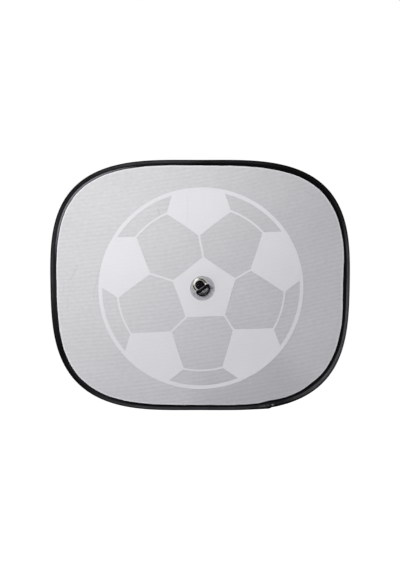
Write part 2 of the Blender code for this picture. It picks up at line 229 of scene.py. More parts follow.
class Bench:
    def __init__(self, name, owner=None):
        owner = owner or bpy.data.materials.new(name)
        owner.use_nodes = True
        self.owner = owner
        self.tree = owner.node_tree
        self.tree.nodes.clear()

    def add(self, kind, settings=None, sockets=None, output=0):
        node = self.tree.nodes.new(kind)
        for name, value in (settings or {}).items():
            if name == "stops":
                self.setStops(node.color_ramp, value)
            else:
                setattr(node, name, value)
        for key, value in (sockets or {}).items():
            target = node.inputs[key] if isinstance(key, int) else self.named(node.inputs, key)
            if isinstance(value, Signal):
                self.tree.links.new(value.socket, target)
            else:
                target.default_value = value
        if not node.outputs:
            return None
        found = node.outputs[output] if isinstance(output, int) else self.named(node.outputs, output)
        return Signal(self, found)

    def named(self, sockets, name):
        return next(socket for socket in sockets if socket.enabled and socket.name == name)

    def setStops(self, ramp, stops):
        while len(ramp.elements) < len(stops):
            ramp.elements.new(1)
        for element, (place, shade) in zip(ramp.elements, stops):
            element.position = place
            element.color = (shade, shade, shade, 1)

    def ramp(self, value, stops, interpolation="LINEAR"):
        # stops are (value, shade); the ramp reads from 0 to 1
        node = self.add("ShaderNodeValToRGB", {"stops": stops}, {0: value})
        node.socket.node.color_ramp.interpolation = interpolation
        return node

    def between(self, mask, first, second):
        # a plain colour is given as red, green and blue
        first, second = (tint if isinstance(tint, Signal) else (*tint, 1) for tint in (first, second))
        sockets = {"Factor": mask, "A": first, "B": second}
        return self.add("ShaderNodeMix", {"data_type": "RGBA"}, sockets, "Result")

    def dimmed(self, base, tone):
        return self.add("ShaderNodeVectorMath", {"operation": "SCALE"}, {0: base, "Scale": tone})

    def place(self):
        return self.add("ShaderNodeTexCoord", output="Object")

    def kept(self, name):
        return self.add("ShaderNodeAttribute", {"attribute_name": name}, output="Fac")

    def facing(self, x, z, degrees, spread):
        # 1 where a point lies in this direction from the origin, 0 beyond the spread
        turn = math.radians(degrees)
        towards = (x * math.cos(turn) + z * math.sin(turn)) / lengthOf(x, z)
        edge, full = math.cos(math.radians(spread)), math.cos(math.radians(spread * 0.35))
        return self.ramp(towards, [(edge, 0.0), (full, 1.0)], "EASE")

    def spots(self, x, z, places):
        # several directions at once, each as (degrees, spread, amount)
        return sum(self.facing(x, z, degrees, spread) * amount for degrees, spread, amount in places)

    def axes(self, vector):
        parts = self.add("ShaderNodeSeparateXYZ", sockets={0: vector})
        return [Signal(self, socket) for socket in parts.socket.node.outputs]

    def faceAxes(self, vector):
        # only x and z, which run over the shade's face
        return self.axes(vector)[::2]

    def noise(self, vector, scale, detail=2.0, roughness=0.5):
        sockets = {"Vector": vector, "Scale": scale, "Detail": detail, "Roughness": roughness}
        return self.add("ShaderNodeTexNoise", {}, sockets, "Fac")

    def stretched(self, vector, scale):
        return self.add("ShaderNodeMapping", {}, {"Vector": vector, "Scale": scale})

    def bump(self, height, distance, strength, under=None):
        sockets = {"Height": height, "Distance": distance, "Strength": strength}
        if under:
            sockets["Normal"] = under
        return self.add("ShaderNodeBump", {}, sockets)

    def surface(self, base, roughness, relief, others):
        sockets = {"Base Color": base, "Roughness": roughness, **others}
        if relief:
            sockets["Normal"] = relief
        self.finish(self.add("ShaderNodeBsdfPrincipled", {}, sockets))
        return self.owner

    def finish(self, shader):
        self.add("ShaderNodeOutputMaterial", {}, {"Surface": shader})


def give(piece, material):
    piece.data.materials.clear()
    piece.data.materials.append(material)


# The shade's outline, as the frame has it

shade = {
    "width": 440 * mm,
    "height": 368 * mm,
    "squareness": 3.2,
    "topFlare": 0.0168,
    "sideBulge": 0.021,
    "tubeRadius": 1.75 * mm,  # the frame's tape round its wire
    "joinAngle": math.radians(300),  # where the tape's ends overlap
    "joinSwell": 0.25,
    "joinSpread": math.radians(9),
    "hemDrift": 0.12,
    "driftAngle": math.radians(345),
}


def outline(angle):
    halfWidth = shade["width"] / 2 / (1 + shade["sideBulge"])
    halfHeight = shade["height"] / 2 / (1 - shade["sideBulge"])
    across, up = math.cos(angle), math.sin(angle)
    size = abs(across / halfWidth) ** shade["squareness"] + abs(up / halfHeight) ** shade["squareness"]
    reach = (1 + shade["sideBulge"] * math.cos(2 * angle)) / size ** (1 / shade["squareness"])
    z = reach * up
    return Vector((reach * across * (1 + shade["topFlare"] * z / halfHeight), z))


def heading(angle):
    step = 0.0005
    return (outline(angle + step) - outline(angle - step)).normalized()


def inset(angle, distance):
    along = heading(angle)
    return outline(angle) + distance * Vector((-along.y, along.x))


def hemScale(angle):
    fromJoin = (angle - shade["joinAngle"] + math.pi) % fullTurn - math.pi
    swell = shade["joinSwell"] * math.exp(-((fromJoin / shade["joinSpread"]) ** 2))
    drift = shade["hemDrift"] * max(0.0, math.cos(angle - shade["driftAngle"])) ** 2
    return 1 + swell + drift


def evenAngles(count):
    # directions that share the outline's length evenly, from the tape's join round to it again
    fine, start = 4000, shade["joinAngle"]
    angles = [start + fullTurn * i / fine for i in range(fine + 1)]
    reached = [0.0]
    for before, after in zip(angles, angles[1:]):
        reached.append(reached[-1] + (outline(after) - outline(before)).length)
    wanted, found = 0, []
    for i in range(count + 1):
        length = reached[-1] * i / count
        while wanted < fine - 1 and reached[wanted + 1] < length:
            wanted += 1
        share = (length - reached[wanted]) / (reached[wanted + 1] - reached[wanted])
        found.append(angles[wanted] + share * (angles[wanted + 1] - angles[wanted]))
    return found, reached[-1]


# Camera, lights, floor and background come first, so that everything is judged in them

studio = {
    "lens": 85.0,
    "distance": 1978.4 * mm,  # from the lens to the mesh
    "floorDrop": 110 * mm,  # below the shade's lower edge: it hangs on its cup
    "floorSize": 14.0,
    "floorColour": (0.86, 0.86, 0.86, 1),
    "ambient": 0.34,
    "floorWhite": 0.86,  # how much of the floor the camera sees as plain white
    "floorGlow": 1.12,
}

# the window light and the fill behind only shade the cloth, the others only give gloss
lamps = {
    "windowLight": {"place": (-0.36, -0.86, 0.30), "size": 0.30, "power": 6.3, "gloss": False},
    "backFill": {"place": (0.50, 1.30, 0.45), "size": 0.60, "power": 11.0, "gloss": False},
    "upperGlint": {"place": (-0.42, -0.97, 0.56), "size": 0.20, "power": 0.9, "gloss": True},
    "lowGlint": {"place": (0.50, -0.97, -0.42), "size": 0.20, "power": 1.4, "gloss": True},
}


def makeCamera():
    bpy.ops.object.camera_add(location=(0, meshY - studio["distance"], 0), rotation=(math.pi / 2, 0, 0))
    camera = bpy.context.object
    camera.name = "camera"
    camera.data.lens = studio["lens"]
    bpy.context.scene.camera = camera


def makeLamps():
    for name, facts in lamps.items():
        place = Vector(facts["place"])
        aim = (-place).to_track_quat("-Z", "Y").to_euler()
        bpy.ops.object.light_add(type="AREA", location=place, rotation=aim)
        lamp = bpy.context.object
        lamp.name = name
        lamp.data.shape = "DISK"
        lamp.data.size = facts["size"]
        lamp.data.energy = facts["power"]
        lamp.visible_camera = False
        lamp.visible_glossy = facts["gloss"]
        lamp.visible_diffuse = not facts["gloss"]


def seenWhite(bench):
    # 1 for the rays that show the background itself, straight, in gloss or through glass
    outputs = bench.add("ShaderNodeLightPath").socket.node.outputs
    straight, glossy, through = (
        Signal(bench, outputs[name]) for name in ("Is Camera Ray", "Is Glossy Ray", "Is Transmission Ray")
    )
    return (straight + glossy + through).atMost(1.0)


def makeBackground():
    world = bpy.data.worlds.new("background")
    bpy.context.scene.world = world
    bench = Bench("background", world)
    strength = studio["ambient"] + seenWhite(bench) * (1 - studio["ambient"])
    back = bench.add("ShaderNodeBackground", {}, {"Color": (1, 1, 1, 1), "Strength": strength})
    bench.add("ShaderNodeOutputWorld", {}, {"Surface": back})


def makeFloor():
    level = cadLow.z - studio["floorDrop"]
    deselectAll()
    bpy.ops.mesh.primitive_plane_add(size=studio["floorSize"], location=(0, 0, level))
    floor = justAdded("floor")
    bench = Bench("paleFloor")
    matt = bench.add("ShaderNodeBsdfDiffuse", {}, {"Color": studio["floorColour"]})
    white = bench.add("ShaderNodeEmission", {}, {"Color": (1, 1, 1, 1), "Strength": studio["floorGlow"]})
    share = seenWhite(bench) * studio["floorWhite"]
    bench.finish(bench.add("ShaderNodeMixShader", {}, {0: share, 1: matt, 2: white}))
    give(floor, bench.owner)


makeCamera()
makeLamps()
makeBackground()
makeFloor()
print("camera, lamps, background and floor are set")


# The mesh: one taut sheet that puckers softly along its hem and has a few creases

cloth = {
    "thickness": meshHigh.y - meshLow.y,
    "edgeInset": 3.3 * mm,
    "holeRadius": 6.7 * mm,
    "columns": 288,
    "rings": 64,
    "puckerHeight": 0.34 * mm,
    "puckerLength": 23 * mm,  # from one pucker to the next along the hem
    "puckerReach": 24 * mm,
    "puckerStart": 6 * mm,
    "hemDepth": 8.5 * mm,  # under the tape the mesh lies flat
    "hemCalm": 20 * mm,  # creases and billows grow over this length from the hem
    "eyeletCalm": 30 * mm,  # and over this one from the eyelet
    "billow": 0.5 * mm,
    "billowTurns": (17, 21),  # across and up, in radians a metre
}

# each crease in mm: start and end as (x, z), how far it bows aside, height, half width, and then the strength
# of its painted shade and highlight
creases = [
    ((-178.5, 33), (-192, 5), 1.0, 0.38, 2.2, 0.18),
    ((-199.5, 4), (-202, -15), 0.4, 0.18, 2.0, 0.14),
    ((-147, 25), (-156.5, -25), -1.5, 0.30, 2.2, 0.12),
    ((-194, -18), (-195.5, -38), 0.5, 0.20, 2.0, 0.17),
    ((-18.5, 136), (-18.5, 94), 0.5, 0.30, 3.4, 0.07),
    ((-62, 112), (-59.8, 104), 0.4, 0.25, 2.0, 0.30),
    ((-128, -107), (-115, -96), 0.5, 0.28, 2.0, 0.15),
    ((-3, -173), (13, -165.5), -0.5, 0.15, 2.0, 0.10),
    ((152, 139), (168, 128.5), 1.0, 0.28, 2.4, 0.16),
    ((96, -120), (160, -78), 6.0, 0.22, 6.0, 0),
]


def creaseAxes(x, z, start, end, bow, width):
    # how far along the crease a point lies, from -0.5 to 0.5, and how many widths aside
    start, end = Vector(start) * mm, Vector(end) * mm
    middle, run = (start + end) / 2, end - start
    along, aside = turnedAxes(x - middle.x, z - middle.y, math.atan2(run.y, run.x))
    share = along / run.length
    return share, (aside - bow * mm * (1 - share * share * 4)) / (width * mm)


def creaseHeight(point):
    total = 0.0
    for start, end, bow, height, width, shadeContrast in creases:
        share, aside = creaseAxes(point.x, point.y, start, end, bow, width)
        fade = math.exp(-max(0.0, abs(share) - 0.3) ** 2 / 0.03)
        total += height * mm * fade * math.exp(-(aside ** 2))
    return total


def creaseShading(bench, x, z):
    # painted shade and highlight: each crease is a thin dark line with a paler side
    tone = 1
    for start, end, bow, height, width, shadeContrast in creases:
        if shadeContrast:
            share, aside = creaseAxes(x, z, start, end, bow, width)
            line = bench.ramp(aside / 4 + 0.5, [(0.34, 0.5), (0.47, 0), (0.53, 0), (0.67, 0.70), (0.82, 0.5)])
            fade = bench.ramp(share.size(), [(0.36, 1), (0.56, 0)])
            tone = tone * (1 + (line - 0.5) * fade * shadeContrast)
    return tone


def clothFront(point):
    # how far the mesh's middle stands before its plane here
    if point.length < cloth["holeRadius"]:
        return 0.0
    angle = math.atan2(point.y, point.x)
    edge = outline(angle)
    toHem = max(0.0, edge.length - point.length - cloth["hemDepth"])
    fromEyelet = 1 - math.exp(-((point.length / cloth["eyeletCalm"]) ** 2))
    around = angle * (shade["width"] + shade["height"]) / 4
    wave = math.sin(around * fullTurn / cloth["puckerLength"] + 2.0 * math.sin(3 * angle + 0.7))
    swell = 0.6 + 0.4 * math.sin(5 * angle + 1.1)
    pucker = wave * swell * math.exp(-toHem / cloth["puckerReach"])
    pucker *= 1 - math.exp(-toHem / cloth["puckerStart"])
    inside = 1 - math.exp(-toHem / cloth["hemCalm"])
    across, up = cloth["billowTurns"]
    billow = math.sin(point.x * across + 0.6) * math.cos(point.y * up - 0.4)
    rest = (cloth["billow"] * billow + creaseHeight(point)) * fromEyelet
    return cloth["puckerHeight"] * pucker + rest * inside


def makeClothPanel():
    def place(u, v):
        angle = fullTurn * u
        hole = cloth["holeRadius"] * Vector((math.cos(angle), math.sin(angle)))
        point = hole.lerp(inset(angle, cloth["edgeInset"]), v)
        return (point.x, meshY - clothFront(point), point.y)

    panel = warpedGrid("clothPanel", cloth["columns"], cloth["rings"], place)
    tidyMesh(panel, 180, 0.001 * mm)
    addModifier(panel, "SOLIDIFY", thickness=cloth["thickness"], offset=0)
    smoothByAngle(panel, 50)
    return panel


def clothArea():
    steps = 720
    corners = [inset(fullTurn * i / steps, cloth["edgeInset"]) for i in range(steps)]
    twice = sum(a.x * b.y - b.x * a.y for a, b in zip(corners, corners[1:] + corners[:1]))
    return abs(twice) / 2 - math.pi * cloth["holeRadius"] ** 2


weave = {
    "pitch": 1.15 * mm,
    "streakPitch": 6.1 * mm,
    "streakTone": 0.066,
    "mottleTone": 0.07,
    "threadTone": 0.05,
    # painted light: the mesh's colour at its lit upper left and at its shaded lower right
    "light": (0.596, 0.595, 0.610),
    "dark": (0.470, 0.469, 0.493),
    "hemGlow": 0.26,
    # painted shade, darker towards the hem here, or painted light below 0: direction and spread in degrees,
    # share
    "paintedShades": [(293, 34, 0.135), (185, 52, 0.024), (358, 28, -0.028)],
}


def wovenHeight(x, z):
    # 1 on the threads and 0 in the pores of the net
    turn = math.pi / weave["pitch"]
    return (x * turn).sine().size().atLeast((z * turn).sine().size())


def streakHeight(bench, place, x, z):
    slope = 0.17 + x * 0.175 + z * 0.15
    wander = bench.noise(bench.stretched(place, (7, 7, 22)), 1.0, 3.0)
    fine = bench.noise(bench.stretched(place, (170, 170, 270)), 1.0, 2.0)
    phase = (z - x * slope) * (fullTurn / weave["streakPitch"]) + wander * 12.0
    strength = bench.noise(bench.stretched(place, (24, 24, 36)), 1.0, 3.0)
    calm = bench.ramp(z / 0.4 + 0.5, [(0.25, 1.05), (0.62, 0.98), (0.85, 0.72)])
    return phase.sine() * strength * calm * 0.85 + fine * 2.6 - 1.3


def makeMeshFinish():
    bench = Bench("meshCloth")
    place = bench.place()
    x, z = bench.faceAxes(place)
    threads = wovenHeight(x, z)
    streak = streakHeight(bench, place, x, z)
    mottle = bench.noise(place, 22.0, 3.0)
    tone = 0.970 + streak * weave["streakTone"] + threads * weave["threadTone"]
    tone = tone + (mottle - 0.5) * weave["mottleTone"]
    outwards = bench.ramp(lengthOf(x, z) / 0.2, [(0.55, 0), (0.88, 1)])
    # painted shade towards the hem in a few directions, and the creases' painted shade and highlight
    tone = tone * (1 - outwards * bench.spots(x, z, weave["paintedShades"])) * creaseShading(bench, x, z)
    # paler just inside the tape's free edge
    besideHem = bench.ramp(bench.kept("fromHem") / 0.01 + 0.5, [(0.63, 1), (0.76, 0)])
    tone = tone * (1 + besideHem * weave["hemGlow"])
    # painted light: paler towards the upper left, darker towards the lower right, as the light falls
    drift = bench.ramp((x * 0.85 - z * 0.9) / 0.50 + 0.5, [(0.02, 0), (0.80, 1)], "EASE")
    base = bench.between(drift, weave["light"], weave["dark"])
    tint = bench.noise(bench.stretched(place, (12, 12, 45)), 1.0, 2.0)
    cool = bench.between(tint, (1.008, 0.998, 1), (0.992, 1.003, 1))
    base = bench.add("ShaderNodeVectorMath", {"operation": "MULTIPLY"}, {0: base, 1: cool})
    base = bench.dimmed(base, tone)
    relief = bench.bump(streak, 0.10 * mm, 0.6, bench.bump(threads, 0.10 * mm, 0.35))
    return bench.surface(base, 0.85, relief, {"Specular IOR Level": 0.05})


clothPanel = makeClothPanel()
give(clothPanel, makeMeshFinish())
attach(clothPanel, "shade")
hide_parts("mesh_panel")
print("mesh panel is made")


# The printed football: the frame's own ink layer, cut out of a fine grid so that it follows the mesh

ink = {
    "grid": 3.0 * mm,
    "margin": 4 * mm,
    "cutDepth": 6 * mm,
    # painted light: the print's colour at its lit upper left and at its shaded lower right
    "upper": (0.714, 0.710, 0.738),
    "lower": (0.616, 0.615, 0.640),
    # the centre patch is larger and the outer patches' tips lie further in: middle, radius, outwards
    "drawn": [
        (Vector((6 * mm, -7 * mm)), 47.5 * mm, 1.4 * mm), (Vector((1.5 * mm, -5 * mm)), 77 * mm, -1.3 * mm),
    ],
    "drawnSpread": 13 * mm,
    # the taut mesh pulls the print's outer part
    "wider": 0.006,
    "flatter": 0.011,
    "leaning": 0.008,  # to the right
    "pulledFrom": 60 * mm,  # none of that nearer to the middle, all of it beyond twice this
}


def pulledPoint(point):
    # where a point of the planned print lies on the mesh
    moved = point.copy()
    for middle, radius, outwards in ink["drawn"]:
        arm = point - middle
        share = math.exp(-(((arm.length - radius) / ink["drawnSpread"]) ** 2))
        moved += arm.normalized() * outwards * share
    share = min(1.0, max(0.0, point.length / ink["pulledFrom"] - 1))
    share = share * share * (3 - 2 * share)
    moved.x += (point.x * ink["wider"] + point.y * ink["leaning"]) * share
    moved.y -= point.y * ink["flatter"] * share
    return moved


def makeInkPrint():
    middle = (inkLow + inkHigh) / 2
    size = max(inkHigh.x - inkLow.x, inkHigh.z - inkLow.z) + 2 * ink["margin"]
    count = round(size / ink["grid"])
    deselectAll()
    bpy.ops.mesh.primitive_grid_add(
        x_subdivisions=count, y_subdivisions=count, size=size, location=middle, rotation=(math.pi / 2, 0, 0)
    )
    printed = justAdded("inkPrint")
    applyPlace(printed)
    addModifier(printed, "SOLIDIFY", thickness=inkHigh.y - inkLow.y, offset=0)
    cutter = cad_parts["ball_print"].copy()
    cutter.data = cutter.data.copy()
    cutter.parent = None
    bpy.context.scene.collection.objects.link(cutter)
    for vertex in cutter.data.vertices:
        side = 1 if vertex.co.y > middle.y else -1
        vertex.co.y = middle.y + side * ink["cutDepth"]
    tidyMesh(cutter, 30, 0.001 * mm)
    addModifier(printed, "BOOLEAN", operation="INTERSECT", object=cutter)
    bpy.data.objects.remove(cutter, do_unlink=True)
    for vertex in printed.data.vertices:
        point = pulledPoint(Vector((vertex.co.x, vertex.co.z)))
        vertex.co = (point.x, vertex.co.y - clothFront(point), point.y)
    smoothByAngle(printed, 50)
    return printed


def makeInkFinish():
    bench = Bench("printInk")
    place = bench.place()
    x, z = bench.faceAxes(place)
    threads = wovenHeight(x, z)
    streak = streakHeight(bench, place, x, z)
    mottle = bench.noise(place, 30.0, 3.0)
    tone = (0.975 + (mottle - 0.5) * 0.05 + threads * 0.035 + streak * 0.014) * creaseShading(bench, x, z)
    # painted light: paler towards the upper left, darker towards the lower right
    drift = bench.ramp((x * 0.45 - z) / 0.30 + 0.5, [(0.02, 0), (0.82, 1)], "EASE")
    base = bench.dimmed(bench.between(drift, ink["upper"], ink["lower"]), tone)
    relief = bench.bump(threads, 0.06 * mm, 0.25)
    return bench.surface(base, 0.75, relief, {"Specular IOR Level": 0.06})


inkPrint = makeInkPrint()
give(inkPrint, makeInkFinish())
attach(inkPrint, "shade")
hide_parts("ball_print")
print("print is made")


# The binding: one ribbed tape folded over the wire and the mesh's edge

hem = {
    "stations": 360,
    "depth": 8.4 * mm,
    "crest": 3.3 * mm,  # how far in from the outer edge the fold is thickest
    "rise": 1.95 * mm,
    "tape": 0.45 * mm,
    "leafInside": 0.55 * mm,
    "stitchLine": 6.3 * mm,
    "dimple": 0.26 * mm,
    "curl": 0.16 * mm,  # the free edge stands up a little
    "wander": 0.20 * mm,  # how much the inner edge wanders
    # the free edge isn't sewn on evenly: direction in degrees, wider by this in mm
    "uneven": [
        (0, 1), (14, -0.8), (32, 0.8), (58, 1.4), (80, 0.3), (104, -0.3), (125, 0.6), (150, 1), (165, 0.9),
        (195, 0.9), (215, 0), (245, 0), (288, -1), (296, -1.7), (300.5, -0.4), (307, -0.2), (310, 0.6),
        (319, 2.1), (327, 0.7), (346, -0.4), (360, 1),
    ],
    "bendSteps": 12,
    "leafSteps": 14,
}


def hemExtra(angle):
    degrees = math.degrees(angle) % 360
    for (before, first), (after, second) in zip(hem["uneven"], hem["uneven"][1:]):
        if degrees <= after:
            return (first + (second - first) * (degrees - before) / (after - before)) * mm
    return 0.0


def upperSide(share):
    # front of the tape's outer face over its width; share runs from the outer edge to the inner one
    crest = hem["crest"] / hem["depth"]
    if share < crest:
        return hem["rise"] * math.sqrt(max(0.0, 1 - (1 - share / crest) ** 2))
    leafTop = hem["leafInside"] + hem["tape"]
    down = (share - crest) / (1 - crest)
    slope = leafTop + (hem["rise"] - leafTop) * (0.5 + 0.5 * math.cos(math.pi * min(1.0, down / 0.75)))
    stitch = hem["stitchLine"] / hem["depth"]
    curl = hem["curl"] * max(0.0, (share - 0.84) / 0.16) ** 2
    return slope + curl - hem["dimple"] * math.exp(-(((share - stitch) / 0.05) ** 2))


def hemSection():
    # the folded tape cut across, as (inward, front) points: round the outside, then back along the inside
    depth, leafInside = hem["depth"], hem["leafInside"]
    bends, leaves = hem["bendSteps"], hem["leafSteps"]
    crest = hem["crest"] / depth
    shares = [crest * (1 - math.cos(math.pi / 2 * i / bends)) for i in range(bends + 1)]
    shares += [crest + (1 - crest) * i / leaves * 0.985 for i in range(1, leaves + 1)]
    half = [(share * depth, upperSide(share)) for share in shares]
    half += [(depth, upperSide(1) - 0.12 * mm), (depth, leafInside + 0.12 * mm), (depth * 0.985, leafInside)]
    for share in (0.86, 0.74, 0.62, 0.5, 0.4, 0.3):
        half.append((share * depth, max(leafInside, upperSide(share) - hem["tape"])))
    half += [(0.19 * depth, 1.2 * mm), (0.11 * depth, 0.85 * mm), (0.07 * depth, 0.4 * mm)]
    back = [(inward, -front) for inward, front in reversed(half)]
    return half + [(0.065 * depth, 0.0)] + back[:-1]


def hemPoint(angle, inward, front):
    scale = hemScale(angle)
    side = shade["tubeRadius"] * (scale - 1)
    share = inward / hem["depth"]
    kink = math.sin(angle * 31 + 3 * math.sin(angle * 5)) * math.cos(angle * 13 + 1)
    aside = (hem["wander"] * kink + hemExtra(angle)) * share ** 3
    point = inset(angle, inward * scale - side + aside)
    return (point.x, meshY - front * (1 + (scale - 1) * 0.6), point.y)


hemAngles, hemLength = evenAngles(hem["stations"])


def tapeGrid(name, columns, section, shape):
    # tape along the hem: shape(u, inward, front) gives each point
    shares = []

    def place(u, v):
        inward, front = section[round(v * (len(section) - 1))]
        shares.append(inward / hem["depth"])
        return shape(u, inward, front)

    piece = warpedGrid(name, columns, len(section) - 1, place)
    keepValues(piece, "inward", shares)
    return piece


def makeHemTape():
    def shape(u, inward, front):
        return hemPoint(hemAngles[round(u * hem["stations"])], inward, front)

    section = hemSection()
    section.append(section[0])
    tape = tapeGrid("hemTape", hem["stations"], section, shape)
    lengths = [0.0]
    for (a, b), (c, d) in zip(section, section[1:]):
        lengths.append(lengths[-1] + math.hypot(c - a, d - b))
    for corner in tape.data.uv_layers.active.data:
        row = round(corner.uv.y * (len(section) - 1))
        corner.uv = (corner.uv.x * hemLength, lengths[row])
    tidyMesh(tape, 50, 0.001 * mm)
    return tape


ribs = {
    "pitch": 2.7 * mm,
    "fine": 0.55 * mm,
    "black": 0.0014,
    # painted sheen: the grey of the tape's round tube
    "tubeSheen": 0.013,
    "tint": (0.97, 0.97, 1.08),
    # painted sheen where the light catches the tape's tube: direction and spread in degrees, added tone
    "lowRightSheen": (345, 43, 0.085),
    "sheenSpots": [(112, 26, 0.031), (168, 22, 0.018), (262, 44, 0.030)],
    "edgeHighlight": [(143, 27, 0.29)],  # painted highlight: the free edge catches the light here
    "leafSheen": [(164, 46, 0.017), (223, 18, 0.013), (110, 20, 0.007)],  # painted sheen, grey up to its free edge here
    "shadedSpots": [(47, 16, 0.75), (212, 17, 0.75)],  # painted shade: the share of the sheen that is taken away
    "shadedCorner": [(314, 24, 0.11)],  # painted shade: black further in from its outer edge here
    "foldGlint": 0.33,
    "overlapSheen": 0.062,
}


def makeTapeFinish():
    bench = Bench("ribbedTape")
    along, across = bench.axes(bench.add("ShaderNodeTexCoord", output="UV"))[:2]
    place = bench.place()
    x, z = bench.faceAxes(place)
    inward = bench.kept("inward")
    wander = bench.noise(place, 60.0, 2.0)
    worn = bench.noise(place, 35.0, 4.0, 0.6)
    twill = ((along + across) * (fullTurn / ribs["pitch"]) + wander * 3.0).sine()
    fine = ((along - across * 0.3) * (fullTurn / ribs["fine"])).sine()
    cords = (across * (fullTurn / (ribs["fine"] * 1.3))).sine()
    degrees, spread, added = ribs["lowRightSheen"]
    lowRightSheen = bench.facing(x, z, degrees, spread)
    grey = ribs["tubeSheen"] + lowRightSheen * added + bench.spots(x, z, ribs["sheenSpots"])
    grey = grey * (1 - bench.spots(x, z, ribs["shadedSpots"]))
    # painted sheen: the tube is grey, and painted shade leaves the tape black at its outer edge and where it
    # dips to the seam
    shifted = inward + lowRightSheen * 0.05 - bench.spots(x, z, ribs["shadedCorner"]) + (wander - 0.5) * 0.06
    tube = bench.ramp(shifted, [(0.10, 0.12), (0.26, 1), (0.50, 1), (0.62, 0.02)])
    rim = bench.ramp(inward, [(0.705, 0), (0.74, 1), (0.86, 1), (0.93, 0.30), (1.0, 0.20)])
    leaf = bench.ramp(inward, [(0.50, 0), (0.64, 1)])
    # painted highlight along the free edge and painted sheen over the leaf
    pale = rim * bench.spots(x, z, ribs["edgeHighlight"]) * (0.75 + twill * 0.15)
    pale = pale + leaf * bench.spots(x, z, ribs["leafSheen"]) * (0.85 + twill * 0.2)
    # at the join: a painted glint on the fold, a painted shadow in the black gap and a painted sheen on the
    # overlapping layer's lighter end
    fold = bench.ramp(along / 0.02, [(0.15, 0), (0.23, 1), (0.28, 0.8), (0.40, 0)])
    fold = fold * bench.ramp(inward, [(0.17, 0), (0.26, 1), (0.36, 1), (0.48, 0)])
    gap = bench.ramp((along - 0.2 * mm).size() / 0.02, [(0.05, 0), (0.11, 1)])
    overlap = bench.ramp((hemLength - along) / 0.04, [
        (0.01, 0), (0.03, 0.9), (0.055, 0.9), (0.075, 0.1), (0.10, 0.1), (0.17, 1), (0.32, 0.8), (0.44, 0),
    ])
    overlap = overlap * bench.ramp(inward, [(0.18, 0), (0.28, 1), (0.40, 1), (0.52, 0)])
    grey = (grey + fold * ribs["foldGlint"] + overlap * ribs["overlapSheen"]) * gap
    mask = bench.ramp(twill * 0.22 + fine * 0.10 + worn * 0.9, [(0.30, 0.45), (0.75, 1.30)]) * tube
    base = bench.dimmed(ribs["tint"], ribs["black"] + mask * grey + pale)
    relief = bench.bump(twill * 0.5 + fine * 0.25 + cords * 0.25, 0.16 * mm, 0.7)
    return bench.surface(base, 0.50 + worn * 0.16 - twill * 0.03, relief, {"Specular IOR Level": 0.035})


def markHemEdge():
    # how far each point of the mesh lies inside the tape's free edge
    distances = []
    for vertex in clothPanel.data.vertices:
        angle = math.atan2(vertex.co.z, vertex.co.x)
        along = heading(angle)
        x, z = hemPoint(angle, hem["depth"], 0)[::2]
        distances.append((x - vertex.co.x) * along.y - (z - vertex.co.z) * along.x)
    keepValues(clothPanel, "fromHem", distances)


markHemEdge()
hemTape = makeHemTape()
give(hemTape, makeTapeFinish())
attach(hemTape, "shade")
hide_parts("edge_binding")
print("binding is made")


# Stitches along both faces of the binding

stitch = {"pitch": 3.3 * mm, "length": 2.5 * mm, "thread": 0.42 * mm}


def makeStitches():
    deselectAll()
    bpy.ops.mesh.primitive_cylinder_add(
        vertices=6, radius=stitch["thread"] / 2, depth=stitch["length"] * 0.6, end_fill_type="TRIFAN"
    )
    single = justAdded("oneStitch")
    bpy.ops.object.mode_set(mode="EDIT")
    work = bmesh.from_edit_mesh(single.data)
    reach = stitch["length"] / 2
    for vertex in work.verts:
        if math.hypot(vertex.co.x, vertex.co.y) < 0.01 * mm:
            vertex.co.z = math.copysign(reach, vertex.co.z)
    bmesh.update_edit_mesh(single.data)
    bpy.ops.object.mode_set(mode="OBJECT")
    count = round(hemLength / stitch["pitch"])
    angles = evenAngles(count)[0]
    top = upperSide(hem["stitchLine"] / hem["depth"]) + stitch["thread"] * 0.3
    bank = bmesh.new()
    for angle in angles[:-1]:
        for side in (1, -1):
            x, y, z = hemPoint(angle, hem["stitchLine"], side * top)
            along = heading(angle)
            turn = Vector((along.x, 0, along.y)).to_track_quat("Z", "Y").to_matrix().to_4x4()
            spot = Matrix.Translation((x, y, z)) @ turn
            before = len(bank.verts)
            bank.from_mesh(single.data)
            bank.verts.ensure_lookup_table()
            bmesh.ops.transform(bank, matrix=spot, verts=bank.verts[before:])
    bank.to_mesh(single.data)
    bank.free()
    single.name = single.data.name = "hemStitches"
    tidyMesh(single, 60, 0.0001 * mm)
    return single


def makeThreadFinish():
    bench = Bench("sewingThread")
    place = bench.place()
    twist = bench.noise(place, 900.0, 1)
    base = bench.between(twist, (0.001, 0.001, 0.0012), (0.006, 0.006, 0.007))
    relief = bench.bump(twist, 0.05 * mm, 0.6)
    return bench.surface(base, 0.6, relief, {"Specular IOR Level": 0.05})


hemStitches = makeStitches()
give(hemStitches, makeThreadFinish())
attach(hemStitches, "shade")
print("stitches are made")


# Where the tape's ends overlap: a second layer with a heat-cut edge

lap = {
    "start": math.radians(292.6),
    "end": math.radians(300.6),
    "stations": 24,
    "lift": 0.30 * mm,
    "endLift": 0.85 * mm,  # at its outer edge
    "endDrop": 0.75 * mm,
    "wall": 0.28 * mm,
    "length": 29 * mm,  # along the tape, for the finish
    "past": 2 * mm,  # its end lies this far past the tape's own
}


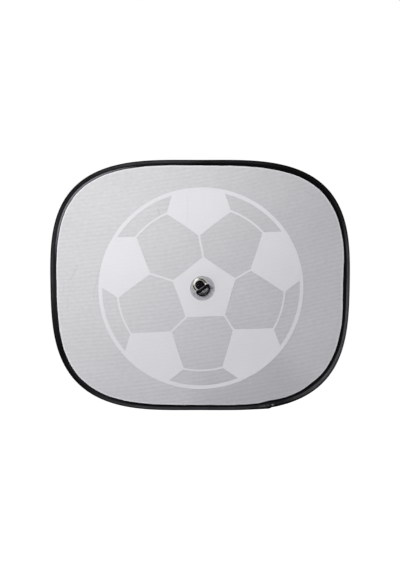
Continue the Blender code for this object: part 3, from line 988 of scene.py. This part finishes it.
def makeTapeLap():
    outer = hemSection()[: hem["bendSteps"] + hem["leafSteps"] + 1]
    around = [(inward, -front) for inward, front in reversed(outer[1:])] + outer

    def shape(u, inward, front):
        angle = lap["start"] + (lap["end"] - lap["start"]) * u
        edge = 0.93 + 0.07 * math.sin(9 * u + 1)
        inward = min(inward, hem["depth"] * edge)
        begin = min(1.0, 8 * u)
        grow = -lap["wall"] + (lap["endLift"] + lap["wall"]) * u ** 1.5
        grow -= lap["endDrop"] * max(0.0, (u - 0.86) / 0.14) ** 2
        out = grow * (1 - inward / hem["crest"]) if inward < hem["crest"] else 0.0
        up = lap["lift"] * begin * min(1.0, abs(front) / hem["rise"] * 1.2)
        return hemPoint(angle, inward - out, front + math.copysign(up, front))

    piece = tapeGrid("tapeLap", lap["stations"], around, shape)
    for corner in piece.data.uv_layers.active.data:
        along = hemLength + lap["past"] - (1 - corner.uv.x) * lap["length"]
        corner.uv = (along, corner.uv.y * 2.4 * hem["depth"])
    tidyMesh(piece, 50, 0.001 * mm)
    addModifier(piece, "SOLIDIFY", thickness=lap["wall"], offset=1)
    smoothByAngle(piece, 40)
    return piece


tapeLap = makeTapeLap()
give(tapeLap, hemTape.data.materials[0])
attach(tapeLap, "shade")
clothArea()
print("tape join is made")


# The frame's own steel pieces: the wire and its ferrule inside the binding, and the washer behind the mesh

# the finish's name, its darker and lighter shade, and how fine its grain is
steel = {
    "spring_wire": ("springSteel", (0.34, 0.34, 0.36), (0.5, 0.5, 0.52), 700.0),
    "wire_ferrule": ("ferruleSteel", (0.45, 0.45, 0.46), (0.62, 0.62, 0.63), 400.0),
    "eyelet_washer": ("washerPlate", (0.58, 0.57, 0.54), (0.72, 0.71, 0.68), 300.0),
}


def makeSteelFinish(name, dark, light, grain):
    bench = Bench(name)
    drawn = bench.noise(bench.place(), grain, 3.0)
    base = bench.between(drawn, dark, light)
    return bench.surface(base, 0.24 + drawn * 0.2, None, {"Metallic": 1.0})


for node, finish in steel.items():
    give(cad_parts[node], makeSteelFinish(*finish))
print("steel pieces have their finish")


# Eyelet: a domed ring with a rolled barrel

eyelet = {
    "bore": 6.0 * mm,
    "sheet": 0.4 * mm,
    "flangeRadius": 11.0 * mm,
    "crestRadius": 8.5 * mm,
    # painted dark reflections along the ring: direction and spread in degrees, radius where they lie
    "darkReflections": [(58, 48, 8.6 * mm), (208, 34, 9.6 * mm)],
    # painted highlights on the dome's crest: direction and spread in degrees, amount
    "paintedHighlights": [(142, 48, 1), (6, 12, 1)],
    "footShadowTurn": math.radians(34),  # painted shadow of the neck's foot, black along its flat side
}


def makeEyelet():
    front, back = frontOf(eyeletLow.y), frontOf(eyeletHigh.y)
    seat = frontOf(inkLow.y) + 0.05 * mm
    washerBack = frontOf(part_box("eyelet_washer")[1].y)
    bore, sheet, flange = eyelet["bore"], eyelet["sheet"], eyelet["flangeRadius"]
    crest = (eyelet["crestRadius"], front)
    hollow = (eyelet["crestRadius"], front - sheet)
    outer = [crest] + easeArc(crest, (flange, seat + 0.1 * mm), 9)
    under = [(flange, seat), (flange - sheet, seat)]
    under += reversed([hollow] + easeArc(hollow, (flange - sheet, seat + 0.15 * mm), 5))
    under += easeArc(hollow, (bore + sheet, 0.2 * mm), 5)
    curlFront = washerBack - 0.3 * mm
    roll = (bore + sheet + 8.2 * mm) / 2 - 0.4 * mm
    barrel = [(bore + sheet, washerBack - 0.1 * mm), (bore + sheet + 0.15 * mm, curlFront), (roll, curlFront)]
    curl = [(8.0 * mm, curlFront), (8.2 * mm, curlFront - 0.2 * mm), (8.0 * mm, back + 0.06 * mm)]
    curl += [(7.6 * mm, back), (6.6 * mm, back), (6.15 * mm, back + 0.15 * mm), (bore, back + 0.5 * mm)]
    bowl = list(reversed([crest] + easeArc(crest, (bore, 0.1 * mm), 9)))
    return spunPiece("eyeletRing", outer + under + barrel + curl + bowl[:-1], ring=True, smoothAngle=50)


def makeNickelFinish():
    bench = Bench("nickelPlate")
    place = bench.place()
    x, z = bench.faceAxes(place)
    radius = lengthOf(x, z)
    # painted dark reflections round the bore and at the flange's rim, faint over the dome
    mask = bench.ramp(radius / 0.012, [
        (0.515, 1), (0.55, 0.12), (0.70, 0.05), (0.76, 0), (0.90, 0.1), (0.925, 0.8),
    ])
    for degrees, spread, middle in eyelet["darkReflections"]:
        band = bench.ramp((radius - middle).size() / 0.002, [(0.30, 1), (0.62, 0)])
        mask = mask.atLeast(band * bench.facing(x, z, degrees, spread))
    # painted shadow of the neck's foot on the ring
    along, side = turnedAxes(x, z, eyelet["footShadowTurn"])
    footShadow = bench.ramp(side / 0.012 + 1.0, [(0.66, 1), (0.70, 0)])
    mask = mask.atLeast(footShadow * bench.ramp((along / 0.012).size(), [(0.37, 1), (0.45, 0)]))
    # painted highlight: a bright band along the dome's crest in those directions
    bright = bench.ramp(radius / 0.012, [(0.62, 0), (0.68, 1), (0.79, 1), (0.86, 0.15)])
    bright = bright * bench.spots(x, z, eyelet["paintedHighlights"])
    metal = bench.between(bright, (0.44, 0.425, 0.385), (0.96, 0.95, 0.91))
    base = bench.between(mask, metal, (0.030, 0.026, 0.022))
    scuff = bench.noise(place, 420.0, 4.0, 0.65)
    relief = bench.bump(scuff, 0.02 * mm, 0.3)
    return bench.surface(base, 0.10 + scuff * 0.12, relief, {"Metallic": 1.0})


eyeletRing = makeEyelet()
give(eyeletRing, makeNickelFinish())
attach(eyeletRing, "shade")
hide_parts("eyelet")
print("eyelet is made")


# Suction cup: a clear dish whose soft neck leans to the eyelet

cup = {
    "centre": Vector((3.6 * mm, -4.8 * mm)),
    "radius": 18.0 * mm,
    "hollow": 5.8 * mm,
    "rimFlat": 1.4 * mm,
    "lip": 0.7 * mm,
    "middle": 2.4 * mm,
    "neckRoot": 7.0 * mm,
    "neckEnd": 5.2 * mm,
    "bore": 2.6 * mm,
    "boreDepth": 3.2 * mm,
    "dishShadow": (16.6 * mm, -4.4 * mm),  # the middle of a painted shadow on the dish
}
cupRim = frontOf(cupLow.y)
neckFront = frontOf(cupHigh.y)

# under the dish the neck has a foot: a half-round block whose steep walls are painted black, standing in for
# the dark edges that clear PVC shows
foot = {
    "centre": Vector((3.4 * mm, -5.1 * mm)),
    "turn": math.radians(34),
    "middle": -5.6 * mm,  # across from the centre, on the flat side's normal
    "cornerPower": 9,  # the higher, the sharper its corners
    "steps": 96,
    # from the back's middle to the lens's middle, in mm: radius, flat side, front, share of the way out
    "rings": [
        (11.0, 1.2, 2.4, 0), (11.0, 1.2, 2.4, 0.6), (11.0, 1.2, 2.4, 1), (11.5, 1.75, 2.9, 1),
        (11.5, 1.75, 4.7, 1), (11.2, 1.5, 5.3, 1), (10.6, 0.9, 5.55, 1), (10.2, 0.4, 5.45, 1),
        (9.8, -2.8, 4.7, 1), (9.2, -3.4, 4.5, 1), (9.2, -3.4, 4.75, 0.75), (9.2, -3.4, 4.95, 0.4),
        (9.2, -3.4, 5.05, 0),
    ],
}


def footAxes(x, z):
    # along and across the foot's flat side, from its centre
    return turnedAxes(x - foot["centre"].x, z - foot["centre"].y, foot["turn"])


def hollowFront(radius):
    bowl = cup["radius"] - cup["rimFlat"]
    return cupRim - cup["hollow"] * (1 - min(1.0, radius / bowl) ** 2)


def dishBack(radius):
    thinning = (cup["middle"] - cup["lip"]) * (radius / cup["radius"])
    return hollowFront(radius) - cup["middle"] + thinning


def makeCup():
    bowl = cup["radius"] - cup["rimFlat"]
    hollow = [(bowl * i / 16, hollowFront(bowl * i / 16)) for i in range(17)]
    rim = [(cup["radius"] - 0.25 * mm, cupRim), (cup["radius"], cupRim - 0.2 * mm)]
    edges = [cup["radius"] + (cup["neckRoot"] - cup["radius"]) * i / 12 for i in range(13)]
    back = [(radius, dishBack(radius) if i else cupRim - 0.5 * mm) for i, radius in enumerate(edges)]
    root = dishBack(cup["neckRoot"])
    neck = []
    for i in range(1, 9):
        down = i / 8
        radius = cup["neckEnd"] + (cup["neckRoot"] - cup["neckEnd"]) * (1 - down) ** 2.2
        neck.append((radius, root + (neckFront - root) * down))
    floor = neckFront + cup["boreDepth"]
    end = [(cup["bore"], neckFront), (cup["bore"], floor), (0, floor)]
    piece = spunPiece("suctionCup", hollow + rim + back + neck + end, cup["centre"])
    for vertex in piece.data.vertices:
        fall = (root - frontOf(vertex.co.y)) / (root - neckFront)
        nearAxis = (Vector((vertex.co.x, vertex.co.z)) - cup["centre"]).length < cup["neckRoot"] + 0.1 * mm
        if fall > 0 and nearAxis:
            share = min(1.0, fall)
            vertex.co.x -= share * cup["centre"].x
            vertex.co.z -= share * cup["centre"].y
    return piece


def makeClearFinish():
    bench = Bench("clearPvc")
    place = bench.place()
    flow = bench.noise(bench.stretched(place, (1, 1, 1.6)), 170.0, 3.0, 0.65)
    x, z = bench.faceAxes(place)
    cloudy = bench.ramp(lengthOf(x, z) / 0.02, [(0.53, 0), (0.62, 1)])  # clearest where it is thickest
    along, side = footAxes(x, z)
    onFoot = bench.ramp(lengthOf(along, side) / 0.02, [(0.565, 1), (0.60, 0)])
    cloudy = cloudy * (1 - onFoot * bench.ramp(side / 0.012 + 0.5, [(0.63, 1), (0.67, 0)]))
    grazing = bench.add("ShaderNodeLayerWeight", {}, {"Blend": 0.5}, "Facing")
    edge = bench.ramp(grazing, [(0.10, 0), (0.60, 1)])
    base = bench.between(flow, (0.06, 0.062, 0.085), (0.17, 0.175, 0.215))
    # painted shadow: darker and less clear round one spot at the dish's right
    fromDishShadow = lengthOf(x - cup["dishShadow"][0], z - cup["dishShadow"][1])
    dishShadow = bench.ramp(fromDishShadow / 0.006, [(0.15, 1), (0.75, 0)])
    base = bench.between(dishShadow, base, (0.03, 0.03, 0.04))
    alpha = 0.015 + cloudy * (0.10 + flow * 0.38 + edge * 0.27 + dishShadow * 0.16)
    relief = bench.bump(flow, 0.15 * mm, 0.25)
    return bench.surface(base, 0.10, relief, {"Alpha": alpha, "Specular IOR Level": 0.4})


suctionCup = makeCup()
give(suctionCup, makeClearFinish())
suctionCup.visible_shadow = False  # clear PVC lets the light through to the print
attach(suctionCup, "window_cup")
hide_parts("suction_cup")
print("suction cup is made")


def makeFoot():
    rings = foot["rings"]
    start = Vector((0, foot["middle"]))

    def reach(direction, radius, flat):
        # from the start to the edge: the circle or the flat side, whichever is nearer, with round corners
        along = start.dot(direction)
        toCircle = -along + math.sqrt(max(0.0, along ** 2 - start.length_squared + radius ** 2))
        toFlat = (flat - start.y) / direction.y if direction.y > 0.05 else 1.0
        power = foot["cornerPower"]
        return (toCircle ** -power + toFlat ** -power) ** (-1 / power)

    def place(u, v):
        radius, flat, front, share = rings[round(v * (len(rings) - 1))]
        direction = Vector((math.cos(fullTurn * u), math.sin(fullTurn * u)))
        point = start + direction * reach(direction, radius * mm, flat * mm) * share
        point.rotate(Matrix.Rotation(foot["turn"], 2))
        point += foot["centre"]
        return (point.x, meshY - front * mm, point.y)

    piece = warpedGrid("neckFoot", foot["steps"], len(rings) - 1, place)
    tidyMesh(piece, 38)
    return piece


def makeFootFinish():
    bench = Bench("footPvc")
    place = bench.place()
    x, y, z = bench.axes(place)
    along, side = footAxes(x, z)
    radius = lengthOf(along, side)
    flowed = bench.add("ShaderNodeCombineXYZ", {}, {0: along * 0.16, 1: y, 2: side})
    flow = bench.noise(flowed, 900.0, 3.0, 0.6)
    # painted reflections: pale flow marks in the lens, a lit band and a thin highlight line along the flat
    # side; the rest is painted black
    lens = bench.ramp(side / 0.012 + 1.0, [(0.12, 0.5), (0.50, 1), (0.69, 1), (0.725, 0)])
    lens = lens * bench.ramp(radius / 0.012, [(0.60, 1), (0.74, 0.75), (0.80, 0)])
    lit = bench.ramp(side / 0.012 + 1.0, [(0.63, 0), (0.665, 1), (0.69, 1), (0.725, 0)])
    lit = lit * bench.ramp((along / 0.012 - 0.10).size(), [(0.38, 1), (0.50, 0)])
    line = bench.ramp(side / 0.012 + 0.5, [(0.575, 0), (0.592, 1), (0.628, 1), (0.645, 0)])
    line = line * bench.ramp((along / 0.012 + 0.11).size(), [(0.40, 1), (0.50, 0)])
    streaks = bench.ramp(flow, [(0.42, 0.03), (0.50, 0.17), (0.59, 0.55)])
    tone = (lens * streaks).atLeast(lit * 0.62).atLeast(line * 0.38)
    base = bench.between(tone, (0.0010, 0.0010, 0.0016), (0.46, 0.46, 0.47))
    relief = bench.bump(flow, 0.10 * mm, 0.3)
    return bench.surface(base, 0.22, relief, {"Specular IOR Level": 0.05})


neckFoot = makeFoot()
give(neckFoot, makeFootFinish())
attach(neckFoot, "window_cup")
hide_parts("suction_cup")
print("neck foot is made")


# Retaining stud: the frame's black button, finer, with a domed head

stud = {
    "head": 8.6 * mm,
    "headThick": 2.0 * mm,
    "collar": 5.6 * mm,
    "collarFront": 1.6 * mm,
    "shank": 1.9 * mm,
    "barb": 2.3 * mm,
}


def makeStud():
    headBack, tip = frontOf(studHigh.y), frontOf(studLow.y)
    headFront, collarFront = headBack + stud["headThick"], stud["collarFront"]
    head, collar, shank, barb = stud["head"], stud["collar"], stud["shank"], stud["barb"]
    profile = [(0, tip), (1.0 * mm, tip), (1.2 * mm, tip - 0.1 * mm), (barb, tip - 1.5 * mm)]
    profile += [(barb, tip - 1.75 * mm), (shank, tip - 1.8 * mm), (shank, collarFront)]
    profile += [(collar - 0.4 * mm, collarFront), (collar, collarFront - 0.4 * mm), (collar, headFront)]
    profile += [(head - 0.3 * mm, headFront), (head, headFront - 0.3 * mm), (head, headFront - 1.1 * mm)]
    for turn in [math.pi / 20 * i for i in range(1, 6)]:
        profile.append((head * math.cos(turn), headFront - 1.1 * mm - 0.9 * mm * math.sin(turn)))
    profile += [(5.2 * mm, headBack), (4.9 * mm, headBack + 0.25 * mm), (1.4 * mm, headBack + 0.25 * mm)]
    profile += [(1.1 * mm, headBack + 0.45 * mm), (0, headBack + 0.45 * mm)]
    return spunPiece("retainingStud", profile, steps=72, smoothAngle=40)


def makeStudFinish():
    bench = Bench("blackPlastic")
    place = bench.place()
    grain = bench.noise(place, 1500.0, 2.0)
    haze = bench.noise(place, 130.0, 3.0)
    base = bench.between(haze, (0.0010, 0.0010, 0.0011), (0.0034, 0.0034, 0.0037))
    relief = bench.bump(grain, 0.02 * mm, 0.4)
    return bench.surface(base, 0.22 + haze * 0.2, relief, {"Specular IOR Level": 0.04})


retainingStud = makeStud()
give(retainingStud, makeStudFinish())
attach(retainingStud, "window_cup")
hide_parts("retaining_stud")
print("stud is made")


bpy.context.scene.view_settings.view_transform = "Standard"
deselectAll()
